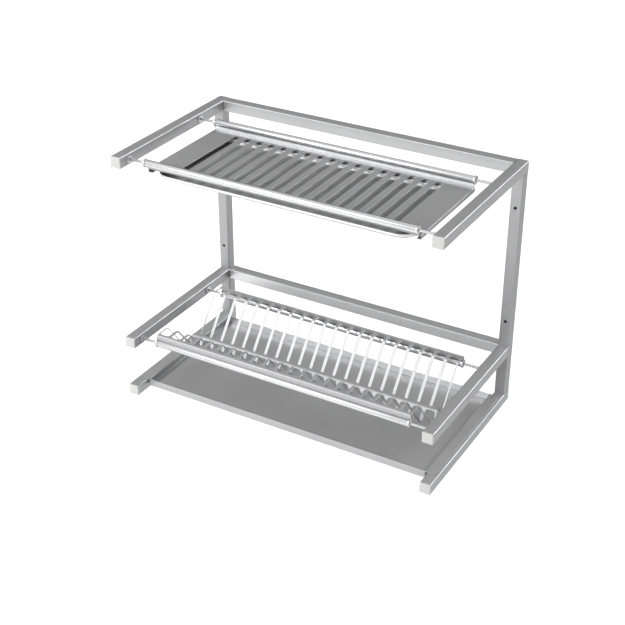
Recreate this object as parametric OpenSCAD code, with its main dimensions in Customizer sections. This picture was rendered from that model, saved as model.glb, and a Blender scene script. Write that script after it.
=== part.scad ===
// Wall-mounted dish rack: two side frames of square tube joined by two cross tubes, a slotted
// shelf that carries a sliding drip pan, a folded plate rack with two rows of slots, and a drip
// tray that slides on the bottom arms. X runs along the wall, the wall is the plane y = 0, the
// front points to -Y, and the origin is the centre of the four wall holes.

/* [Frame] */
// Overall width across the side frames
frame_w = 760; // [640:1:900]
// Overall depth from the wall to the front of the arms
frame_d = 411; // [380:1:460]
// Overall height of the side frames
frame_h = 585; // [500:1:700]
// Height of the middle arms' top faces above the underside
middle_level = 150; // [140:1:190]
// Side of the square tube
tube = 25; // [22:1:30]
// Wall of the square tube
tube_wall = 1.5; // [1:0.1:1.8]
// Outer edge radius of the square tube
tube_edge_r = 2; // [2:0.1:4]

/* [Wall holes] */
// Distance of the upper wall holes below the top
upper_hole_drop = 100; // [60:1:150]
// Height of the lower wall holes above the underside
lower_hole_h = 212; // [200:1:260]
// Diameter of the wall holes
wall_hole_d = 7; // [5:0.5:9]

/* [End caps] */
// Thickness of a cap's head
cap_head = 3; // [2.6:0.1:5]
// Radius along the front edges of a cap's head
cap_round = 1.6; // [1:0.1:2.5]
// Length of the plug inside the arm
cap_plug = 16; // [12:1:25]
// Wall of the plug's core
cap_core_wall = 1.5; // [1:0.1:2.5]
// Depth by which the core is smaller than the fins on each side
cap_fin_h = 2; // [1:0.1:3]
// Thickness of a fin
cap_fin_t = 1; // [0.6:0.1:2]

/* [Rods and tubes] */
// Diameter of the rods between the arms
rod_d = 6; // [5:0.1:8]
// Length of rod inside each arm
rod_seat = 12; // [8:1:18]
// Distance of the front rods behind the front of the arms
front_rod_inset = 31; // [25:1:45]
// Distance of the rear rods from the wall
rear_rod_inset = 118; // [100:1:140]
// Outer diameter of the round tubes
round_tube_d = 16; // [14:0.5:20]
// Wall of the round tubes
round_tube_wall = 1; // [0.8:0.1:1.5]
// Diameter of a bush's flange
bush_d = 18.5; // [16.5:0.5:24]
// Thickness of a bush's flange
bush_t = 4.5; // [2:0.5:8]
// Length of a bush inside the round tube
bush_plug = 12; // [8:1:20]
// Diameter of a collar's flange on the arm
collar_d = 18; // [15:0.5:20]
// Thickness of a collar's flange
collar_t = 2.5; // [1:0.1:4]
// Diameter of a collar's neck in the arm's wall
collar_neck_d = 12; // [9:0.5:13]
// Length of a collar's neck from the arm's inner face
collar_neck = 6; // [2:0.5:10]

/* [Shelf] */
// Distance of the shelf and of the plate rack from the arms
rack_side_gap = 40; // [20:1:60]
// Thickness of the sheet metal
sheet_t = 1; // [0.8:0.1:1.5]
// Height of the shelf's front and rear edges up to the tubes
shelf_edge_h = 7.5; // [4:0.5:12]
// Height of the shelf's side flanges
shelf_flange_h = 12; // [10:0.5:20]
// Width of the lips that carry the drip pan
shelf_lip_w = 10.5; // [8:0.5:16]
// Centre radius of the shelf's bends
shelf_bend_r = 1.5; // [1.2:0.1:3]
// Width of the shelf's slots
shelf_slot_w = 15; // [10:0.5:20]
// Pitch of the shelf's slots
shelf_slot_pitch = 30.5; // [26:0.5:40]
// Least plain width beside the shelf's slots
shelf_margin = 60; // [40:1:90]
// Plain depth between the slots and the rod axes
shelf_slot_inset = 13; // [11:0.5:25]
// Distance of the front of the side flanges behind the front rod
shelf_flange_inset = 8; // [5:0.5:20]

/* [Drip pan] */
// Distance of the pan's front edge behind the front rod
pan_front_inset = 2; // [0:0.5:10]
// Distance of the pan's rear edge in front of the rear rod
pan_rear_inset = 16; // [10:0.5:40]
// Gap between the pan's side rims and the shelf's side flanges
pan_side_gap = 5; // [1:0.5:6]
// Gap between the pan's walls and the tips of the shelf's lips
pan_lip_gap = 1.5; // [0.5:0.5:3]
// Depth of the pan
pan_h = 8; // [6:0.5:20]
// Corner radius of the pan
pan_corner_r = 46; // [25:1:60]
// Corner radius of the pan's side rims
pan_rim_r = 3; // [1:0.5:5]
// Outer radius between the pan's walls and floor
pan_floor_r = 3; // [1.5:0.5:5]

/* [Plate rack] */
// Height of the rack's ridges above the rod axes
rack_rise = 19.5; // [14:0.5:30]
// Depth of the rack's front edge, from its bend to the front ridge
rack_front_edge = 39; // [30:1:50]
// Depth of the rack's rear edge, from the rear ridge to its bend
rack_rear_edge = 30; // [24:1:40]
// Depth of the front valley below the ridges
front_valley_drop = 95.5; // [70:0.5:105]
// Depth of the rear valley below the ridges
rear_valley_drop = 91; // [70:0.5:105]
// Depth of the crest between the valleys below the ridges
crest_drop = 60.5; // [40:0.5:70]
// Centre radius of the crest
crest_r = 8; // [3:0.5:10]
// Centre radius of the rack's other bends
rack_bend_r = 2.5; // [1.5:0.1:4]
// Width of the plate slots
plate_slot_w = 22.5; // [18:0.5:26]
// Pitch of the plate slots
plate_slot_pitch = 30; // [28:0.5:40]
// Corner radius of the plate slots
plate_slot_r = 6; // [2:0.5:8]
// Corner radius of the plate slots beside the crest, seen from above
plate_slot_crest_r = 4; // [1.5:0.5:6]
// Plain depth between the plate slots and the edge bends
plate_slot_inset = 8; // [5:0.5:12]
// Width of the crest between the two rows of slots, seen from above
crest_strip_w = 14; // [8:0.5:20]

/* [Drip tray] */
// Height of the tray's walls
tray_h = 18; // [12:0.5:24]
// Gap between the tray's walls and the arms
tray_side_gap = 4; // [2:0.5:8]
// Distance of the flanges' outer edges from the arms' outer faces
tray_flange_inset = 5.5; // [4:0.5:12]
// Distance of the tray's front behind the front of the arms
tray_front_inset = 38; // [20:1:60]
// Distance of the tray's rear from the wall
tray_rear_inset = 39; // [32:1:60]
// Corner radius of the tray's walls
tray_corner_r = 4; // [2:0.5:10]
// Outer radius between the tray's walls and floor
tray_floor_r = 2.5; // [1.5:0.5:4]
// Radius of the flanges' outer corners
tray_flange_r = 9; // [3:0.5:12]

/* [Hidden] */

// Overrun of the cutting bodies
over = 2;
// Clearance of pieces that are pushed into each other
fit = 0.05;
// Chamfer on the ends of the rods
rod_chamfer = 0.8;
// Number of fins on a cap's plug
fin_count = 3;
// Head and stem of the plugs in the middle arms' vent holes
vent_head_d = 8;
vent_head_t = 1;
vent_stem_d = 5;
vent_stem = 6;
// Distance of the vent holes from the rear ends of the middle arms
vent_inset = 7;
// Corner relief between the shelf's edges and its side flanges
shelf_relief = 2.5;
// Places of the valleys and the crest as shares of the rod span, from the front
front_valley_share = 0.433;
crest_share = 0.5305;
rear_valley_share = 0.609;
// Part of a pitch that rounding may add when slots are counted
count_share = 0.01;
// Faces around round parts, and steps around a bend of a sheet
round_fn = 48;
bend_steps = 8;

upper_hole_h = frame_h - upper_hole_drop;
mount_h = (upper_hole_h + lower_hole_h) / 2;
post_x = frame_w / 2 - tube / 2;
inner_x = frame_w / 2 - tube;
rack_w = 2 * (inner_x - rack_side_gap);
arm_len = frame_d - cap_head;
front_rod_y = -(frame_d - front_rod_inset);
rear_rod_y = -rear_rod_inset;
rod_span = rear_rod_y - front_rod_y;
shelf_rod_z = frame_h - tube / 2;
rack_rod_z = middle_level - tube / 2;
round_tube_r = round_tube_d / 2;
tube_end_x = rack_w / 2 - bush_t;
shelf_top_z = shelf_rod_z - round_tube_r - shelf_edge_h;
lip_top_z = shelf_top_z - shelf_flange_h + sheet_t;
pan_front_y = front_rod_y + pan_front_inset;
pan_rear_y = rear_rod_y - pan_rear_inset;
ridge_z = rack_rod_z + rack_rise;
plate_slots = floor(rack_w / plate_slot_pitch + count_share);
shelf_slots = floor((rack_w - 2 * shelf_margin - shelf_slot_w) / shelf_slot_pitch + count_share) + 1;

// Heights are measured from the underside of the frame and drawn from the wall holes' centre
module from_underside() {
    translate([0, 0, -mount_h]) children();
}

// One piece on the right, or its mirror image on the left
module on_side(side) {
    mirror([side < 0 ? 1 : 0, 0, 0]) children();
}

module rounded_rect(w, d, r) {
    square([w - 2 * r, d], center = true);
    square([w, d - 2 * r], center = true);
    for (sx = [-1, 1], sy = [-1, 1])
        translate([sx * (w / 2 - r), sy * (d / 2 - r)]) circle(r, $fn = round_fn);
}

// Square tube along +Z, open at its top and closed at its foot by a plate of the given thickness
module square_tube(len, foot = 0) {
    difference() {
        linear_extrude(len) rounded_rect(tube, tube, tube_edge_r);
        translate([0, 0, foot > 0 ? foot : -over])
            linear_extrude(len + 2 * over)
                rounded_rect(tube - 2 * tube_wall, tube - 2 * tube_wall, tube_edge_r - tube_wall);
    }
}

module along_x(y, z) {
    translate([0, y, z]) rotate([90, 0, 90]) children();
}

// Post between the bottom and the top arm, with its two wall holes
module post(side) {
    color("silver") from_underside() on_side(side)
        difference() {
            translate([post_x, -tube / 2, tube]) square_tube(frame_h - 2 * tube);
            for (h = [upper_hole_h, lower_hole_h])
                translate([post_x, over, h]) rotate([90, 0, 0])
                    cylinder(d = wall_hole_d, h = tube + 2 * over, $fn = round_fn);
        }
}

// Arm along -Y whose axis is at height z, with holes in its inner wall for the collars
module arm(side, z, back, foot, rods, vent) {
    color("silver") from_underside() on_side(side)
        difference() {
            translate([post_x, -back, z]) rotate([90, 0, 0]) square_tube(arm_len - back, foot);
            if (rods)
                for (y = [front_rod_y, rear_rod_y])
                    inner_wall_hole(y, z, collar_neck_d);
            if (vent)
                inner_wall_hole(-back - vent_inset, z, vent_stem_d);
        }
}

module inner_wall_hole(y, z, d) {
    translate([inner_x - over, y, z]) rotate([0, 90, 0])
        cylinder(d = d, h = tube_wall + 2 * over, $fn = round_fn);
}

module cross_tube(y, z) {
    color("silver") from_underside()
        translate([-inner_x, y, z]) rotate([0, 90, 0]) square_tube(2 * inner_x);
}

// End cap of an arm: a head with rounded front edges, and a hollow plug with fins
module end_cap(side, z) {
    bore = tube - 2 * tube_wall - 2 * fit;
    bore_r = tube_edge_r - tube_wall;
    core = bore - 2 * cap_fin_h;
    color("whitesmoke") from_underside() on_side(side)
        translate([post_x, -arm_len, z]) {
            intersection() {
                rotate([90, 0, 0]) linear_extrude(cap_head) rounded_rect(tube, tube, tube_edge_r);
                linear_extrude(tube, center = true) rounded_rect(tube, 2 * cap_head, cap_round);
                rotate([90, 0, 90]) linear_extrude(tube, center = true)
                    rounded_rect(2 * cap_head, tube, cap_round);
            }
            rotate([-90, 0, 0]) {
                difference() {
                    linear_extrude(cap_plug) rounded_rect(core, core, bore_r);
                    translate([0, 0, cap_core_wall]) linear_extrude(cap_plug)
                        rounded_rect(core - 2 * cap_core_wall, core - 2 * cap_core_wall, bore_r);
                }
                for (i = [1 : fin_count])
                    translate([0, 0, i * cap_plug / (fin_count + 1)])
                        difference() {
                            linear_extrude(cap_fin_t) rounded_rect(bore, bore, bore_r);
                            translate([0, 0, -over]) linear_extrude(cap_fin_t + 2 * over)
                                rounded_rect(core - cap_core_wall, core - cap_core_wall, bore_r);
                        }
            }
        }
}

// Solid rod between two arms, with chamfered ends
module rod(y, z) {
    len = 2 * (inner_x + rod_seat);
    color("gainsboro") from_underside() along_x(y, z)
        rotate_extrude($fn = round_fn)
            polygon([
                [0, -len / 2], [rod_d / 2 - rod_chamfer, -len / 2],
                [rod_d / 2, -len / 2 + rod_chamfer], [rod_d / 2, len / 2 - rod_chamfer],
                [rod_d / 2 - rod_chamfer, len / 2], [0, len / 2]]);
}

module round_tube(y, z) {
    color("white") from_underside() along_x(y, z)
        difference() {
            cylinder(r = round_tube_r, h = 2 * tube_end_x, center = true, $fn = round_fn);
            cylinder(r = round_tube_r - round_tube_wall, h = rack_w + 2 * over,
                center = true, $fn = round_fn);
        }
}

// Bushes at both ends of the front and rear tube: a flange, and a plug that guides the rod
module bushes(z) {
    plug_r = round_tube_r - round_tube_wall - fit;
    color("gainsboro") from_underside()
        for (side = [-1, 1], y = [front_rod_y, rear_rod_y])
            on_side(side) along_x(y, z)
                rotate_extrude($fn = round_fn)
                    polygon([
                        [rod_d / 2 + fit, tube_end_x - bush_plug], [plug_r, tube_end_x - bush_plug],
                        [plug_r, tube_end_x], [bush_d / 2, tube_end_x],
                        [bush_d / 2, rack_w / 2], [rod_d / 2 + fit, rack_w / 2]]);
}

// Collars that hold the rods in the arms' inner walls
module collars(z) {
    neck_r = collar_neck_d / 2 - fit;
    color("silver") from_underside()
        for (side = [-1, 1], y = [front_rod_y, rear_rod_y])
            on_side(side) along_x(y, z)
                rotate_extrude($fn = round_fn)
                    polygon([
                        [rod_d / 2 + fit, inner_x - collar_t], [collar_d / 2, inner_x - collar_t],
                        [collar_d / 2, inner_x], [neck_r, inner_x],
                        [neck_r, inner_x + collar_neck], [rod_d / 2 + fit, inner_x + collar_neck]]);
}

// Plugs in the vent holes near the rear ends of the middle arms
module middle_arm_plugs() {
    color("silver") from_underside()
        for (side = [-1, 1])
            on_side(side) along_x(-tube - vent_inset, rack_rod_z)
                rotate_extrude($fn = round_fn)
                    polygon([
                        [0, inner_x - vent_head_t], [vent_head_d / 2, inner_x - vent_head_t],
                        [vent_head_d / 2, inner_x], [vent_stem_d / 2 - fit, inner_x],
                        [vent_stem_d / 2 - fit, inner_x + vent_stem], [0, inner_x + vent_stem]]);
}

function unit(v) = v / norm(v);
function left_of(v) = [-v[1], v[0]];
function turned(v, angle) =
    [v[0] * cos(angle) - v[1] * sin(angle), v[0] * sin(angle) + v[1] * cos(angle)];

// Centre line of a folded strip through the corners p, with a bend of radius r[i] at each inner
// corner. Each entry is a point and the strip's left-hand normal there.
function bend_line(p, r) = concat(
    [[p[0], left_of(unit(p[1] - p[0]))]],
    [for (i = [1 : len(p) - 2])
        let (
            before = unit(p[i] - p[i - 1]),
            after = unit(p[i + 1] - p[i]),
            turn = atan2(cross(before, after), before * after),
            way = turn > 0 ? 1 : -1,
            start = p[i] - before * r[i - 1] * tan(abs(turn) / 2),
            centre = start + left_of(before) * way * r[i - 1])
        for (k = [0 : bend_steps])
            let (normal = turned(left_of(before), turn * k / bend_steps))
            [centre - normal * way * r[i - 1], normal]],
    [[p[len(p) - 1], left_of(unit(p[len(p) - 1] - p[len(p) - 2]))]]);

function strip_outline(p, r) = let (line = bend_line(p, r)) concat(
    [for (q = line) q[0] + q[1] * sheet_t / 2],
    [for (i = [len(line) - 1 : -1 : 0]) line[i][0] - line[i][1] * sheet_t / 2]);

// Outline of a slot that runs from y = 0 to y = run, with rounded corners at its far end
module slot_end(w, run, r) {
    translate([-w / 2, 0]) square([w, run - r]);
    translate([-w / 2 + r, 0]) square([w - 2 * r, run]);
    for (side = [-1, 1])
        translate([side * (w / 2 - r), run - r]) circle(r, $fn = round_fn);
}

// Both tubes of a level with their bushes, as bodies that trim the sheet's edges to their surface
module tube_trim(z) {
    for (y = [front_rod_y, rear_rod_y]) {
        along_x(y, z)
            cylinder(r = round_tube_r, h = rack_w + 2 * over, center = true, $fn = round_fn);
        for (side = [-1, 1])
            on_side(side) along_x(y, z) translate([0, 0, tube_end_x])
                cylinder(d = bush_d, h = bush_t + over, $fn = round_fn);
    }
}

// Shelf sheet: folded up to the tubes at its front and rear, and down and in along its sides,
// where its lips are the runners of the drip pan
module shelf_sheet() {
    mid_z = shelf_top_z - sheet_t / 2;
    side_x = rack_w / 2 - sheet_t / 2;
    low_z = shelf_top_z - shelf_flange_h + sheet_t / 2;
    tip_x = rack_w / 2 - shelf_lip_w;
    front = [front_rod_y, shelf_rod_z];
    rear = [rear_rod_y, shelf_rod_z];
    flange_front_y = front_rod_y + shelf_flange_inset;
    flange_rear_y = rear_rod_y - shelf_relief - sheet_t;
    color("lightgray") from_underside()
        difference() {
            union() {
                along_x(0, 0)
                    linear_extrude(rack_w - 2 * shelf_relief, center = true)
                        polygon(strip_outline(
                            [front, [front[0], mid_z], [rear[0], mid_z], rear],
                            [shelf_bend_r, shelf_bend_r]));
                translate([0, flange_rear_y, 0]) rotate([90, 0, 0])
                    linear_extrude(flange_rear_y - flange_front_y)
                        polygon(strip_outline(
                            [[-tip_x, low_z], [-side_x, low_z], [-side_x, mid_z],
                                [side_x, mid_z], [side_x, low_z], [tip_x, low_z]],
                            [shelf_bend_r, shelf_bend_r, shelf_bend_r, shelf_bend_r]));
            }
            tube_trim(shelf_rod_z);
            for (i = [0 : shelf_slots - 1])
                translate([
                    (i - (shelf_slots - 1) / 2) * shelf_slot_pitch,
                    (front_rod_y + rear_rod_y) / 2,
                    shelf_top_z - sheet_t - over])
                    linear_extrude(sheet_t + 2 * over) {
                        run = rod_span - 2 * shelf_slot_inset - shelf_slot_w;
                        square([shelf_slot_w, run], center = true);
                        for (end = [-1, 1])
                            translate([0, end * run / 2]) circle(d = shelf_slot_w, $fn = round_fn);
                    }
        }
}

// Plate rack: one sheet folded into two valleys with a crest between them, and two rows of slots
// that run over its ridges and through its valleys
module plate_rack_sheet() {
    front_valley = [front_rod_y + front_valley_share * rod_span, ridge_z - front_valley_drop];
    crest = [front_rod_y + crest_share * rod_span, ridge_z - crest_drop];
    rear_valley = [front_rod_y + rear_valley_share * rod_span, ridge_z - rear_valley_drop];
    corners = [
        [front_rod_y, rack_rod_z], [front_rod_y, ridge_z],
        [front_rod_y + rack_front_edge, ridge_z], front_valley, crest, rear_valley,
        [rear_rod_y - rack_rear_edge, ridge_z], [rear_rod_y, ridge_z], [rear_rod_y, rack_rod_z]];
    radii = [
        rack_bend_r, rack_bend_r, rack_bend_r, crest_r, rack_bend_r, rack_bend_r, rack_bend_r];
    cut_z = min(front_valley[1], rear_valley[1]) - over;
    color("lightgray") from_underside()
        difference() {
            along_x(0, 0) linear_extrude(rack_w, center = true)
                polygon(strip_outline(corners, radii));
            tube_trim(rack_rod_z);
            for (i = [0 : plate_slots - 1])
                translate([(i - (plate_slots - 1) / 2) * plate_slot_pitch, 0, 0]) {
                    plate_slot(crest[0] - crest_strip_w / 2, front_rod_y + plate_slot_inset, cut_z);
                    plate_slot(crest[0] + crest_strip_w / 2, rear_rod_y - plate_slot_inset, cut_z);
                }
        }
}

// Upright cutter of one plate slot, from the crest at y = near to the rack's edge at y = far
module plate_slot(near, far, z) {
    way = far > near ? 1 : -1;
    mid = (near + far) / 2;
    translate([0, 0, z]) linear_extrude(ridge_z - z + over) {
        translate([0, mid]) mirror([0, way < 0 ? 1 : 0])
            slot_end(plate_slot_w, abs(far - mid), plate_slot_r);
        translate([0, mid]) mirror([0, way < 0 ? 0 : 1])
            slot_end(plate_slot_w, abs(near - mid), plate_slot_crest_r);
    }
}

// Solid dish with its rim at z = 0: upright walls, rounded corners and a rounded lower edge
module dish(w, d, h, r, edge) {
    translate([0, 0, -h]) {
        for (sx = [-1, 1], sy = [-1, 1])
            translate([sx * (w / 2 - r), sy * (d / 2 - r), 0])
                rotate_extrude($fn = 2 * round_fn)
                    intersection() {
                        dish_side(2 * r, h, edge);
                        square([r, h]);
                    }
        rotate([90, 0, 90]) linear_extrude(w - 2 * r, center = true) dish_side(d, h, edge);
        rotate([90, 0, 0]) linear_extrude(d - 2 * r, center = true) dish_side(w, h, edge);
    }
}

// Side view of a dish of width w
module dish_side(w, h, edge) {
    translate([-w / 2, edge]) square([w, h - edge]);
    translate([-w / 2 + edge, 0]) square([w - 2 * edge, h]);
    for (side = [-1, 1])
        translate([side * (w / 2 - edge), edge]) circle(edge, $fn = round_fn);
}

// Shallow pan with large corners, whose side rims slide on the shelf's lips
module drip_pan() {
    d = pan_rear_y - pan_front_y;
    w = rack_w - 2 * (shelf_lip_w + pan_lip_gap);
    rim_w = rack_w - 2 * (sheet_t + pan_side_gap);
    color("gainsboro") from_underside()
        translate([0, (pan_front_y + pan_rear_y) / 2, lip_top_z + sheet_t])
            difference() {
                union() {
                    translate([0, 0, -sheet_t]) linear_extrude(sheet_t)
                        rounded_rect(rim_w, d - 2 * pan_corner_r, pan_rim_r);
                    dish(w, d, pan_h, pan_corner_r, pan_floor_r);
                }
                translate([0, 0, over])
                    dish(w - 2 * sheet_t, d - 2 * sheet_t, pan_h - sheet_t + over,
                        pan_corner_r - sheet_t, pan_floor_r - sheet_t);
            }
}

// Tray whose side flanges slide on the bottom arms
module drip_tray() {
    front_y = -(frame_d - tray_front_inset);
    rear_y = -tray_rear_inset;
    d = rear_y - front_y;
    w = 2 * (inner_x - tray_side_gap);
    flange_w = frame_w - 2 * tray_flange_inset;
    color("gainsboro") from_underside()
        translate([0, (front_y + rear_y) / 2, tube + sheet_t])
            difference() {
                union() {
                    translate([0, 0, -sheet_t]) linear_extrude(sheet_t)
                        rounded_rect(flange_w, d, tray_flange_r);
                    dish(w, d, tray_h, tray_corner_r, tray_floor_r);
                }
                translate([0, 0, over])
                    dish(w - 2 * sheet_t, d - 2 * sheet_t, tray_h - sheet_t + over,
                        tray_corner_r - sheet_t, tray_floor_r - sheet_t);
            }
}

post(-1);  // left_post
post(1);  // right_post
arm(-1, shelf_rod_z, 0, tube_wall, true, false);  // left_top_arm
arm(1, shelf_rod_z, 0, tube_wall, true, false);  // right_top_arm
arm(-1, rack_rod_z, tube, 0, true, true);  // left_middle_arm
arm(1, rack_rod_z, tube, 0, true, true);  // right_middle_arm
arm(-1, tube / 2, 0, tube_wall, false, false);  // left_bottom_arm
arm(1, tube / 2, 0, tube_wall, false, false);  // right_bottom_arm
cross_tube(-tube / 2, shelf_rod_z);  // top_cross_tube
cross_tube(-tube / 2, rack_rod_z);  // middle_cross_tube
end_cap(-1, shelf_rod_z);  // left_top_cap
end_cap(1, shelf_rod_z);  // right_top_cap
end_cap(-1, rack_rod_z);  // left_middle_cap
end_cap(1, rack_rod_z);  // right_middle_cap
end_cap(-1, tube / 2);  // left_bottom_cap
end_cap(1, tube / 2);  // right_bottom_cap
shelf_sheet();
round_tube(front_rod_y, shelf_rod_z);  // shelf_front_tube
round_tube(rear_rod_y, shelf_rod_z);  // shelf_rear_tube
rod(front_rod_y, shelf_rod_z);  // shelf_front_rod
rod(rear_rod_y, shelf_rod_z);  // shelf_rear_rod
bushes(shelf_rod_z);  // shelf_bushes
collars(shelf_rod_z);  // shelf_collars
plate_rack_sheet();
round_tube(front_rod_y, rack_rod_z);  // rack_front_tube
round_tube(rear_rod_y, rack_rod_z);  // rack_rear_tube
rod(front_rod_y, rack_rod_z);  // rack_front_rod
rod(rear_rod_y, rack_rod_z);  // rack_rear_rod
bushes(rack_rod_z);  // rack_bushes
collars(rack_rod_z);  // rack_collars
middle_arm_plugs();
drip_pan();
drip_tray();
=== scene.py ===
# %% [markdown]
# A wall-mounted dish rack of stainless steel. Two side frames of square tube carry a slotted
# shelf with a sliding drip pan, a folded plate rack and a drip tray. The construction comes
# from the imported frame, where every piece has its real size and place. This lesson dresses it:
# a camera and a soft studio, then one finish for each kind of steel, then the pieces whose
# folds and edges deserve a finer mesh than the frame holds.

# %% Load the frame and measure it
import bmesh
import bpy
import math
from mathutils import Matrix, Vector


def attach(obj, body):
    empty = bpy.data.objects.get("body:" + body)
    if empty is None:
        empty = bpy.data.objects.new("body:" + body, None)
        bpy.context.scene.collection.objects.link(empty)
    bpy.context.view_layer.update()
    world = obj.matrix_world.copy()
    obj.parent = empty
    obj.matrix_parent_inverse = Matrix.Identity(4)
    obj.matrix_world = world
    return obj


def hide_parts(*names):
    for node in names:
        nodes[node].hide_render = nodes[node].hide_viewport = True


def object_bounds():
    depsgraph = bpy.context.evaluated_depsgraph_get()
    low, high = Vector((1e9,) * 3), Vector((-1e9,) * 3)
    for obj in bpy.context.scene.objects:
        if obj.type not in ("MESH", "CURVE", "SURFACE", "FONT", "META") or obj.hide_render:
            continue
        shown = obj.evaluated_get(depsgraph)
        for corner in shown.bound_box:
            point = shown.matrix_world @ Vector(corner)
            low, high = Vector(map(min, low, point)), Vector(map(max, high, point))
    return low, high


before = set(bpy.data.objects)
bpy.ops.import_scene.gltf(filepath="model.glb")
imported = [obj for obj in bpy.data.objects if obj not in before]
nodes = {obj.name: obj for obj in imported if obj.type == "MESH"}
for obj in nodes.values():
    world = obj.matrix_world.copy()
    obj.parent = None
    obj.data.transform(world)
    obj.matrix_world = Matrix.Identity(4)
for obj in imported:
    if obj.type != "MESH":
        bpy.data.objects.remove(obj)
cad_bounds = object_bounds()

# %% [markdown]
# The camera stands to the right of the rack and looks down at it. Its place and lens were found
# by fitting the rack's own corners, so the picture needs no shift. A long lens keeps the arms
# nearly parallel, as in a catalogue picture. The colours go through the Standard transform,
# because a film-like transform would turn the white studio grey.

# %% Camera
SENSOR = 0.036                       # sensor width, metres
FOCAL = 0.07446                      # focal length, metres
MM = 1000                            # millimetres in a metre
CAMERA_AT = (1.2223, -2.3467, 1.2862)
CAMERA_TURN = (60.139, 0.0, 30.017)  # degrees

camera_data = bpy.data.cameras.new("camera")
camera_data.sensor_width = SENSOR * MM
camera_data.lens = FOCAL * MM
camera = bpy.data.objects.new("camera", camera_data)
camera.location = CAMERA_AT
camera.rotation_euler = [math.radians(angle) for angle in CAMERA_TURN]
scene = bpy.context.scene
scene.collection.objects.link(camera)
scene.camera = camera
scene.view_settings.view_transform = "Standard"
print("camera at", tuple(round(v, 3) for v in camera.location))

# %% [markdown]
# Steel has almost no colour of its own: it shows the room. So the room is lit for what each face
# mirrors. The upward faces mirror the sky behind the rack, and a grey flag hangs there. A wider
# flag shades the right side. A flag is part of the world: a direction, how close a ray comes to
# it, and what it adds to the sky. A small bright window is made the same way, and draws the thin
# white lines along rounded edges. A ray that comes straight from the camera sees the plain sky, so
# flags and window show in the steel alone, as in a catalogue picture.

# %% Studio: the sky
SKY = 1.16         # radiance of the plain sky
# Patches of the sky: direction, cosines where the patch starts and is full, and what it adds
FLAG = ((-0.472, 0.832, 0.292), (0.86, 0.98), -0.98)
SIDE_FLAG = ((1.0, 0.1, 0.25), (0.2, 0.8), -0.95)
WINDOW = ((0.50, 0.75, 0.43), (0.95, 0.98), 13.0)
WHITE = (1.0, 1.0, 1.0, 1.0)


def make_world(sky, patches):
    """A pale sky with soft-edged patches that are darker or brighter in what the steel mirrors."""
    world = bpy.data.worlds.new("studio")
    world.use_nodes = True
    tree = world.node_tree
    back = tree.nodes["Background"]
    coords = tree.nodes.new("ShaderNodeTexCoord")
    total = None
    for towards, (start, full), change in patches:
        near = tree.nodes.new("ShaderNodeVectorMath")
        near.operation = "DOT_PRODUCT"
        near.inputs[1].default_value = Vector(towards).normalized()
        edge = tree.nodes.new("ShaderNodeMapRange")
        edge.interpolation_type = "SMOOTHSTEP"
        edge.inputs["From Min"].default_value = start
        edge.inputs["From Max"].default_value = full
        edge.inputs["To Min"].default_value = 0.0
        edge.inputs["To Max"].default_value = change
        added = tree.nodes.new("ShaderNodeMath")
        added.operation = "ADD"
        added.inputs[0].default_value = sky
        tree.links.new(coords.outputs["Generated"], near.inputs[0])
        tree.links.new(near.outputs["Value"], edge.inputs["Value"])
        if total is not None:
            tree.links.new(total, added.inputs[0])
        tree.links.new(edge.outputs["Result"], added.inputs[1])
        total = added.outputs[0]
    seen = tree.nodes.new("ShaderNodeLightPath").outputs["Is Camera Ray"]
    plain = tree.nodes.new("ShaderNodeMapRange")
    plain.inputs["To Max"].default_value = sky
    tree.links.new(seen, plain.inputs["Value"])
    tree.links.new(total, plain.inputs["To Min"])
    tree.links.new(plain.outputs["Result"], back.inputs["Strength"])
    back.inputs["Color"].default_value = WHITE
    scene.world = world
    return world


sky_patches = [FLAG, SIDE_FLAG, WINDOW]
make_world(SKY, sky_patches)
print("sky:", SKY, "patches:", len(sky_patches))

# %% [markdown]
# The rack hangs on a wall, so the floor lies well below it and its shadow stays soft. One large
# pale sheet does, because it ends far outside the picture. The end faces of the rack mirror it.

# %% Studio: the floor
FLOOR_SIZE = 14.0
FLOOR_GAP = 0.42   # how far the floor lies below the rack
FLOOR_COLOUR = (0.95, 0.95, 0.95, 1.0)
FLOOR_ROUGHNESS = 0.8


def make_floor(top, size):
    """A plain pale floor that isn't part of the object."""
    half = size / 2
    mesh = bpy.data.meshes.new("floor")
    mesh.from_pydata(
        [(-half, -half, top), (half, -half, top), (half, half, top), (-half, half, top)],
        [], [(0, 1, 2, 3)])
    floor = bpy.data.objects.new("floor", mesh)
    scene.collection.objects.link(floor)
    matter = bpy.data.materials.new("pale_floor")
    matter.use_nodes = True
    shader = matter.node_tree.nodes["Principled BSDF"]
    shader.inputs["Base Color"].default_value = FLOOR_COLOUR
    shader.inputs["Roughness"].default_value = FLOOR_ROUGHNESS
    mesh.materials.append(matter)
    return floor


floor_top = cad_bounds[0][2] - FLOOR_GAP
make_floor(floor_top, FLOOR_SIZE)
print("floor at", round(floor_top, 4))

# %% [markdown]
# A large lamp gives soft light, and its shadows have wide, pale edges. The key lamp stands to the
# left of the camera. The front faces of the rack mirror the floor in front of it, so a low lamp
# that points down lights that part a little more.

# %% Studio: the lamps
KEY_AT, KEY_TO, KEY_SIZE, KEY_WATTS = (-1.6, -3.1, 2.0), (0.0, -0.3, 0.0), (2.4, 1.8), 126
LOW_AT, LOW_TO, LOW_SIZE, LOW_WATTS = (-0.7, -1.7, -0.25), (-0.7, -1.7, -0.8), (1.4, 1.4), 5


def soft_lamp(name, at, look_at, size, watts):
    """A large rectangular lamp that points at a place."""
    data = bpy.data.lights.new(name, "AREA")
    data.shape = "RECTANGLE"
    data.size, data.size_y = size
    data.energy = watts
    lamp = bpy.data.objects.new(name, data)
    lamp.location = at
    lamp.rotation_euler = (Vector(look_at) - Vector(at)).to_track_quat("-Z", "Y").to_euler()
    scene.collection.objects.link(lamp)
    return lamp


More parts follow.
